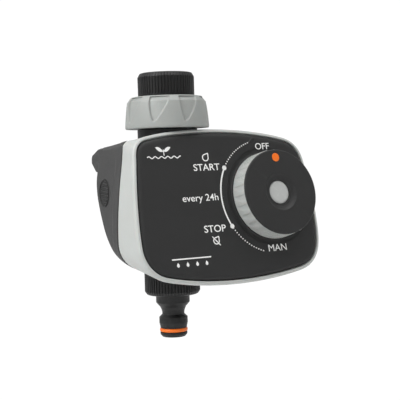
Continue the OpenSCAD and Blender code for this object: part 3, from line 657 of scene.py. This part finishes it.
# -------------------------------------------------------- printed markings
def text_outline(body, x0, x1, z0, z1, bold=0.0):
    cu = bpy.data.curves.new("t", "FONT")
    cu.body = body
    cu.size = 1.0
    cu.extrude = 0.02
    cu.offset = bold
    cu.resolution_u = 6
    o = bpy.data.objects.new("t", cu)
    bpy.context.scene.collection.objects.link(o)
    bpy.context.view_layer.update()
    me = baked(o)
    co = np.array([v.co for v in me.vertices], float)
    lo, hi = co.min(0), co.max(0)
    co[:, 0] = x0 + (co[:, 0] - lo[0]) / (hi[0] - lo[0]) * (x1 - x0)
    co[:, 1] = z0 + (co[:, 1] - lo[1]) / (hi[1] - lo[1]) * (z1 - z0)
    co[:, 2] = np.where(co[:, 2] > 0, 0.035, -0.05)
    faces = [tuple(p.vertices) for p in me.polygons]
    bpy.data.objects.remove(o)
    bpy.data.curves.remove(cu)
    bpy.data.meshes.remove(me)
    return co, faces


def flat(loop, holes=0):
    loop = np.asarray(loop, float)
    n = len(loop)
    v = np.concatenate([np.c_[loop, np.full(n, -0.05)], np.c_[loop, np.full(n, 0.035)]])
    f = [(i, (i + 1) % n, n + (i + 1) % n, n + i) for i in range(n)]
    f += [tuple(range(n))[::-1], tuple(range(n, 2 * n))]
    return v, f


def band(line, width, closed=False):
    """Ribbon of even width along a 2-D line."""
    p = np.asarray(line, float)
    n = len(p)
    if closed:
        t = np.roll(p, -1, 0) - np.roll(p, 1, 0)
    else:
        t = np.gradient(p, axis=0)
    t /= np.linalg.norm(t, axis=1)[:, None]
    nn = np.c_[-t[:, 1], t[:, 0]] * width / 2
    a, b = p + nn, p - nn
    rows = np.stack([np.c_[a, np.full(n, 0.035)], np.c_[b, np.full(n, 0.035)], np.c_[b, np.full(n, -0.05)], np.c_[a, np.full(n, -0.05)]], 1)
    v = rows.reshape(-1, 3)
    f = []
    for i in range(n if closed else n - 1):
        j = (i + 1) % n
        for k in range(4):
            l = (k + 1) % 4
            f.append((i * 4 + k, i * 4 + l, j * 4 + l, j * 4 + k))
    if not closed:
        f += [(0, 1, 2, 3), tuple((n - 1) * 4 + k for k in (3, 2, 1, 0))]
    return v, f


def disc(x, z, r, n=16):
    return flat([(x + r * math.cos(2 * math.pi * i / n), z + r * math.sin(2 * math.pi * i / n)) for i in range(n)])


def tear(x, z, r, d, deg, n=26):
    """Round body with a pointed tip in the direction deg."""
    a, f = math.radians(deg), math.acos(r / d)
    out = [(x + r * math.cos(t), z + r * math.sin(t)) for t in np.linspace(a + f, a + 2 * math.pi - f, n)]
    tip = np.array([x + d * math.cos(a), z + d * math.sin(a)])
    e0, e1 = np.array(out[-1]), np.array(out[0])
    out += [tuple(e0 + (tip - e0) * k) for k in (0.3, 0.6, 0.86)]
    out += [tuple(tip - 0.04 * (tip - (x, z)))]
    return out + [tuple(tip + (e1 - tip) * k) for k in (0.14, 0.4, 0.7)]


def drop_loop(x, z, r, h, n=40, lean_deg=0.0):
    """Water drop: round foot, pointed tip, leaning to the right by lean_deg degrees."""
    a = math.radians(lean_deg)
    out = []
    for i in range(n):
        t = 2 * math.pi * i / n
        k = 0.5 * (1 + math.cos(t))
        u, w = r * math.sin(t) * (1 - k ** 2.2) ** 0.75, h * (0.5 * math.cos(t))
        out.append((x + u * math.cos(a) + w * math.sin(a), z - u * math.sin(a) + w * math.cos(a)))
    return out


ink = []
ink.append(text_outline("OFF", -4.4, 5.4, 27.7, 31.5, 0.005))
ink.append(text_outline("MAN", -6.6, 6.1, -32.2, -28.3, 0.0))
ink.append(text_outline("START", -48.5, -31.2, 16.3, 20.2, 0.008))
ink.append(text_outline("STOP", -47.7, -33.4, -18.8, -14.8, 0.008))
ink.append(text_outline("every 24h", -58.7, -35.2, -2.1, 3.0, 0.004))
RA = 33.1
arc = lambda a0, a1, n: [(RA * math.cos(math.radians(t)), RA * math.sin(math.radians(t))) for t in np.linspace(a0, a1, n)]
ink.append(band(arc(149.5, 207.9, 60), 0.9))
for a0, a1 in ((106.4, 146.0), (211.4, 251.7)):
    k = int(round(math.radians(a1 - a0) * RA / 1.65))
    for t in np.linspace(a0, a1, k + 1):
        ink.append(disc(RA * math.cos(math.radians(t)), RA * math.sin(math.radians(t)), 0.40, 10))
for t in (148.2, 209.2):
    ink.append(disc(RA * math.cos(math.radians(t)), RA * math.sin(math.radians(t)), 1.4, 24))
ink.append(band(tear(-39.75, 23.75, 1.85, 3.2, 52), 0.6, True))
ink.append(band(tear(-40.9, -23.7, 1.8, 3.1, 52), 0.6, True))
ink.append(band([(-43.2, -21.2), (-38.6, -26.3)], 0.6))
# plain mark in place of a maker's: a pot with two leaves, and a wavy line
ink.append(band([(-77.0 + i * 0.35, 24.6 + 0.55 * math.sin(i * 0.55)) for i in range(62)], 0.55))
ink.append(band([(-66.2, 25.6), (-66.2, 27.6), (-66.3, 29.0)], 0.5))
for s in (-1, 1):
    ink.append(flat([(-66.3 + s * (0.2 + 4.6 * t), 28.0 + 2.2 * t + w * 1.15 * math.sin(math.pi * t) ** 0.8) for t, w in
                     [(k / 12, 1) for k in range(13)] + [(k / 12, -1) for k in range(11, 0, -1)]]))
# plain mark in place of a product's: a dripper line with four drops
ink.append(band([(-71.0, -32.2), (-58.5, -32.2), (-46.0, -32.2)], 0.7))
for i in range(4):
    ink.append(flat(drop_loop(-67.6 + i * 6.1, -35.3, 0.95, 2.6, 24)))
allv, allf, k = [], [], 0
for v, f in ink:
    allv.append(np.asarray(v, float))
    allf += [tuple(i + k for i in q) for q in f]
    k += len(v)
pr = make("panel_print", D(np.concatenate(allv)), allf, M["print"], 30, doubles=1e-7)
place(pr, "housing", slot="panel_dark")

# low moulded step running from the end of the scale up to the panel's top edge
path = np.array([(-9.3, 30.9), (-8.7, 31.5), (-8.0, 32.2), (-7.3, 32.95), (-6.6, 33.55), (-5.8, 34.1), (-4.9, 34.5), (-3.9, 34.75)])
seg = np.linspace(0, len(path) - 1, 36)
pv = np.stack([pchip(np.arange(len(path)), path[:, i], seg) for i in (0, 1)], 1)
tan = np.gradient(pv, axis=0)
tan /= np.linalg.norm(tan, axis=1)[:, None]
side2 = np.c_[-tan[:, 1], tan[:, 0]]
rows = []
for i in range(len(pv)):
    k = math.sin(math.pi * min(1, max(0.03, i / (len(pv) - 1)))) ** 0.5
    rows.append([(*(pv[i] + side2[i] * w * (0.25 + 0.75 * k)), h * k - 0.02) for w, h in ((0.9, -0.3), (0.85, 0.0), (0.45, 0.34), (0.15, 0.46), (-0.15, 0.44), (-0.9, 0.0), (-0.95, -0.3))])
v, f = grid(np.array(rows), cap0=True, cap1=True)
place(make("panel_step", D(np.array(v)), f, M["panel"], 60), "housing", slot="panel_dark")

# -------------------------------------------------------------------- dial
GR = 28


def saw(t, count, left=0.08, right=0.10):
    """0..1 across each grip, rising evenly from its left to its right."""
    u = (t * count / (2 * math.pi)) % 1.0
    return u


def dial_fn(r, z, t):
    u = (t * GR / (2 * math.pi)) % 1.0
    wid = np.interp(z, [1.2, 2.4, 4.5, 10.2, 10.8], [0.0, 0.35, 0.62, 0.84, 0.84])
    inside = np.clip(u / 0.10, 0, 1) * np.clip((wid - u) / 0.22, 0, 1)
    inside = inside * inside * (3 - 2 * inside)
    d = 0.42 * inside * (1 - 0.45 * u)
    outer_part = r > 24.0
    return np.where(outer_part, r - d, r), z


side = rounded([(23.4, 0.55), (25.3, 0.55, 0.25), (24.88, 10.75, 0.2), (11.3, 10.75), (11.3, 9.4), (6.9, 9.4), (6.9, 2.9), (3.1, 2.9), (3.1, 1.5), (5.5, 1.5),
                (5.5, -6.2), (8.95, -6.2), (8.95, 7.6), (22.8, 7.6), (23.4, 1.2)], 4)
dense = []
for p, q in zip(side[:-1], side[1:]):
    k = max(1, int(np.linalg.norm(q - p) / 0.9)) if min(p[0], q[0]) > 24 else 1
    for i in range(k):
        dense.append(p + (q - p) * i / k)
dense.append(side[-1])
o = revolve("dial_side", dense, M["dialside"], D, n=GR * 18, fn=dial_fn)
place(o, "dial", "dial_skirt")
face = rounded([(24.55, 10.78), (24.68, 10.9, 0.1), (24.62, 11.55, 0.25), (24.1, 11.93, 0.5), (10.9, 11.93, 0.6), (9.3, 10.75, 1.0), (8.2, 10.25, 0.6), (6.85, 10.2, 0.2), (6.85, 9.45), (11.2, 9.45), (11.2, 10.78)], 5)
dface = revolve("dial_cap", face, M["dialface"], D, n=200)
cut(dface, revolve("c5", [(2.55, 11.1), (2.55, 12.6)], M["rear"], D, n=64, centre=(0, 20.0), cap=True), mat=M["dialface"])
place(dface, "dial", "dial_face")
o = revolve("dial_dot", rounded([(2.48, 11.15), (2.48, 11.98, 0.18), (1.2, 12.02, 0.5), (0.05, 12.03)], 4), M["orange"], D, n=64, centre=(0, 20.0), cap=True)
place(o, "dial", "dial_pointer")
o = revolve("dial_button", rounded([(0.05, -3.7), (3.0, -3.7, 0.2), (3.0, 4.0), (6.65, 4.0, 0.2), (6.65, 9.7, 0.5), (5.6, 10.12, 0.8), (3.0, 10.2, 0.5), (0.05, 10.22)], 5), M["button"], D, n=120, cap=True)
place(o, "button", "centre_button")


# ---------------------------------------------------------- knurled pieces
KN = 56


def knurl(r, z, t, z0, z1, depth=0.55, r_min=15.2):
    u = (t * KN / (2 * math.pi)) % 1.0
    d = np.abs(u - 0.5) * 2
    g = np.clip((d - 0.58) / 0.24, 0, 1)
    g = g * g * (3 - 2 * g)
    along = np.clip((z - z0) / 0.7, 0, 1) * np.clip((z1 - z) / 0.55, 0, 1)
    return np.where(r > r_min, r - depth * g * along, r), z


TP, UP = 1.814, 2.309


def thread(r, z, t, mask, pitch, lo, hi, sign=1.0, z0=-1e9, z1=1e9):
    """Right-handed thread between radii lo and hi on the masked rings."""
    u = ((z * sign) / pitch - t / (2 * math.pi)) % 1.0
    tri = np.clip((0.5 - np.abs(u - 0.5)) / 0.40 - 0.12, 0, 1)
    fade = np.clip((z - z0) / 0.9, 0, 1) * np.clip((z1 - z) / 0.9, 0, 1)
    return np.where(mask, lo + (hi - lo) * tri * fade, r)


def fine_profile(prof, parts):
    """Splits profile segments that lie in the given (r0, r1, z0, z1, step) windows."""
    out = []
    for p, q in zip(prof[:-1], prof[1:]):
        k = 1
        for r0, r1, z0, z1, st in parts:
            if r0 <= min(p[0], q[0]) and max(p[0], q[0]) <= r1 and z0 - 1e-6 <= min(p[1], q[1]) and max(p[1], q[1]) <= z1 + 1e-6:
                k = max(k, int(abs(q[1] - p[1]) / st))
        for i in range(k):
            out.append(p + (q - p) * i / k)
    out.append(prof[-1])
    return np.array(out)


ad = rounded([(8.5, 55.35), (15.3, 55.35), (15.85, 55.9), (15.85, 65.75), (15.2, 65.8), (15.4, 65.82, 0.1), (16.2, 66.3, 0.3), (16.25, 76.7, 0.5), (15.0, 78.9, 0.5), (14.0, 79.2, 0.3), (12.9, 79.2, 0.2),
              (12.1, 78.3), (12.1, 66.2), (8.5, 66.2)], 4)
ad = fine_profile(ad, [(16.1, 16.4, 66, 77, 0.55), (12.0, 12.3, 66, 78.4, 0.15), (15.8, 15.9, 55.9, 65.8, 0.2)])


def adapter_fn(r, z, t):
    r2, z = knurl(r, z, t, 66.2, 77.4, 0.42)
    tap = (np.abs(r - 12.1) < 0.02) & (z > 68.3) & (z < 78.3)
    r2 = thread(r2, z, t, tap, TP, 12.1, 13.15, z0=68.3, z1=78.9)
    uni = (np.abs(r - 15.85) < 0.01) & (z > 55.8) & (z < 65.0)
    return thread(r2, z, t, uni, UP, 15.0, 15.9, z0=55.4, z1=65.6), z


o = revolve("tap_adapter_body", ad, M["black"], P, n=KN * 12, fn=adapter_fn)
place(o, "adapter", "tap_adapter")

# -------------------------------------------------------------- swivel nut
NG = 8
TIP = math.radians(-139.3)


def nut_fn(r, z, t):
    u = (np.degrees(t - TIP) + 12.0) % (360.0 / NG) - 12.0
    left = np.interp(z, [50.4, 51.0, 51.8, 54.2, 57.1, 60, 65], [0, -1.4, -2.4, -4.5, -6.2, -7.1, -7.6])
    right = np.interp(z, [50.4, 51.0, 52.1, 55.3, 60, 63.6, 65.3], [0, 3.2, 6.3, 12.2, 19.6, 23.6, 25.6])
    k = ease(u - left, 0, 1.3) * ease(right - u, 0, 2.2)
    d = (1.15 - 0.6 * np.clip((u - left) / np.maximum(right - left, 1), 0, 1)) * k * ease(z, 50.3, 51.6) * (z < 64.93)
    uni = (np.abs(r - 15.9) < 0.01) & (z > 50.4) & (z < 65.2)
    r2 = np.where(r > 17.5, r - d, r)
    return thread(r2, z, t, uni, UP, 16.02, 16.9, z0=50.4, z1=65.6), z


nut_prof = rounded([(14.7, 50.3), (14.7, 47.35, 0.2), (23.9, 47.35, 0.35), (24.15, 48.3, 0.5), (23.75, 54), (23.05, 60, 1), (22.65, 62.4, 0.7), (21.0, 64.75, 0.4), (20.75, 64.96), (20.4, 65.35, 0.3), (18.6, 65.7, 0.3), (16.3, 65.7, 0.3), (15.9, 65.1), (15.9, 50.3)], 6)
nut_prof = fine_profile(nut_prof, [(20.8, 24.2, 47, 66, 0.30), (15.85, 15.95, 50, 66, 0.2)])
o = revolve("union_nut", nut_prof, M["nut"], P, n=720, fn=nut_fn)
place(o, "nut", "swivel_nut")

# ---------------------------------------------------------- hose connector
con = rounded([(12.7, -34.1), (15.1, -34.1, 0.2), (15.95, -34.9, 0.4), (16.0, -46.0, 0.5), (14.9, -47.6, 0.4), (14.1, -48.0, 0.3), (9.9, -48.05, 0.25), (9.73, -48.4), (9.73, -52.6, 0.35), (8.9, -53.6, 0.6), (7.5, -55.2, 1.2), (6.7, -57.0, 1.0), (6.42, -58.4, 0.5),
               (6.42, -59.5, 0.4), (8.2, -61.2, 0.35), (8.25, -64.4, 0.2), (7.75, -66.5, 0.3), (7.68, -67.3, 0.1), (6.0, -67.3, 0.15), (6.0, -69.75, 0.15), (7.8, -69.75, 0.15), (7.8, -71.1, 0.5), (6.6, -72.5, 0.4),
               (5.2, -72.6, 0.3), (4.7, -72.0), (4.6, -46.05), (12.69, -46.05)], 4)
con = fine_profile(np.vstack([con, con[:1]]), [(15.9, 16.1, -46.1, -34.8, 0.55), (12.6, 12.8, -46.1, -34.0, 0.15)])[:-1]


def con_fn(r, z, t):
    r2, z = knurl(r, z, t, -46.8, -34.4, 0.5)
    m = (np.abs(r - 12.69) < 0.02) & (z > -43.2) & (z < -34.6)
    return thread(r2, z, t, m, TP, 12.3, 13.25, z0=-43.4, z1=-34.3), z


o = revolve("hose_connector", con, M["black"], P, n=KN * 12, fn=con_fn)
place(o, "connector", "outlet_connector")
ring = []
for i in range(24):
    a = 2 * math.pi * i / 24
    k = 1.08 * (1 - 0.05 * max(0, math.cos(a)) ** 8)
    ring.append((7.05 + k * math.cos(a), -68.52 + 1.1 * math.sin(a)))
o = revolve("nipple_ring", ring, M["oring"], P, n=144)
place(o, "connector", "outlet_o_ring")
# external thread on the outlet stub, cut into the valve body's plain end
st = fine_profile(np.array([(12.2, -34.4), (12.64, -34.5), (12.64, -42.9), (12.2, -43.2), (11.0, -43.2), (11.0, -34.4)]), [(12.6, 12.7, -43, -34, 0.15)])
o = revolve("outlet_thread", st, M["black"], P, n=96, fn=lambda r, z, t: (thread(r, z, t, np.abs(r - 12.64) < 0.02, TP, 12.2, 13.1, z0=-43.3, z1=-34.2), z))
place(o, "housing", slot="black_plastic")

# ------------------------------------------------- carried-over CAD nodes
for n, o in NODES.items():
    if o.hide_render:
        continue
    me = o.data
    me.materials.clear()
    me.materials.append(M[SLOT_MAT[SLOTS[n]]])
    if n in ("battery", "battery_tray", "battery_clip", "board_cover", "contact_socket", "inlet_stub", "valve_body", "motor", "valve_clamp"):
        bv = o.modifiers.new("soft_edges", "BEVEL")
        bv.width = 0.00025
        bv.segments = 2
        bv.limit_method = "ANGLE"
        bv.angle_limit = math.radians(40)
        bv.harden_normals = True

# ------------------------------------------------- floor, light and camera
FLOOR = -0.30


def stage_bowl():
    m, nt, nodes, links, bsdf = mat_base("floor_pale")
    tc = nodes.new("ShaderNodeTexCoord").outputs["Object"]
    n = noise(nodes, links, tc, 3.0)
    links.new(mixc(nodes, links, n, (0.80, 0.80, 0.80, 1), (0.83, 0.83, 0.83, 1)), bsdf.inputs["Base Color"])
    bsdf.inputs["Roughness"].default_value = 0.9
    bsdf.inputs["Specular IOR Level"].default_value = 0.1
    glow = nodes.new("ShaderNodeEmission")
    glow.inputs["Strength"].default_value = 1.06
    links.new(mixc(nodes, links, n, (0.97, 0.97, 0.97, 1), (1.0, 1.0, 1.0, 1)), glow.inputs["Color"])
    lp = nodes.new("ShaderNodeLightPath")
    far = nodes.new("ShaderNodeMixShader")
    cam = nodes.new("ShaderNodeMath")
    cam.operation = "MULTIPLY"
    links.new(lp.outputs["Is Camera Ray"], cam.inputs[0])
    cam.inputs[1].default_value = 0.97
    links.new(cam.outputs[0], far.inputs[0])
    links.new(bsdf.outputs[0], far.inputs[1])
    links.new(glow.outputs[0], far.inputs[2])
    links.new(far.outputs[0], nodes["Material Output"].inputs["Surface"])
    prof = [(0.01, 0.0), (1.5, 0.0), (3.0, 0.0)] + [(3.0 + 2.0 * math.sin(a), 2.0 - 2.0 * math.cos(a)) for a in np.linspace(0.1, math.pi / 2, 16)] + [(5.0, 4.0)]
    rings = []
    for r, z in prof:
        t = np.arange(96) * 2 * math.pi / 96
        rings.append(np.c_[r * np.cos(t), r * np.sin(t), np.full(96, FLOOR + z)])
    v, f = grid(np.array(rings), cap0=True)
    me = bpy.data.meshes.new("floor")
    me.from_pydata([tuple(p) for p in v], [], f)
    me.materials.append(m)
    me.polygons.foreach_set("use_smooth", [True] * len(me.polygons))
    o = bpy.data.objects.new("floor", me)
    bpy.context.scene.collection.objects.link(o)


stage_bowl()
scene = bpy.context.scene
scene.view_settings.view_transform = "Standard"
world = bpy.data.worlds.new("studio")
scene.world = world
world.use_nodes = True
wn, wl = world.node_tree.nodes, world.node_tree.links
bg = wn["Background"]
bg.inputs["Color"].default_value = (1, 1, 1, 1)
bg.inputs["Strength"].default_value = 0.78


def area(name, loc, target, size, power, col=(1, 1, 1)):
    li = bpy.data.lights.new(name, "AREA")
    li.shape = "RECTANGLE"
    li.size, li.size_y = size
    li.energy = power
    li.color = col
    o = bpy.data.objects.new(name, li)
    o.location = loc
    d = Vector(target) - Vector(loc)
    o.rotation_euler = d.to_track_quat("-Z", "Y").to_euler()
    bpy.context.scene.collection.objects.link(o)
    return o


T = (0.02, 0, -0.07)
area("key", (-0.85, -0.02, 0.66), T, (0.6, 0.8), 8.5)
area("top", (0.15, -0.25, 0.95), T, (0.8, 0.6), 3.0)
cam = bpy.data.cameras.new("camera")
cam.lens = 94.5
cam.sensor_width = 36.0
cam.clip_start = 0.01
co = bpy.data.objects.new("camera", cam)
right, up, back = Vector((0.8453, -0.5334, -0.0316)), Vector((0.0466, 0.0146, 0.9988)), Vector((-0.5323, -0.8458, 0.0372))
co.matrix_world = Matrix(((right.x, up.x, back.x, -0.3075), (right.y, up.y, back.y, -0.5214), (right.z, up.z, back.z, -0.0510), (0, 0, 0, 1)))
bpy.context.scene.collection.objects.link(co)
scene.camera = co

import json
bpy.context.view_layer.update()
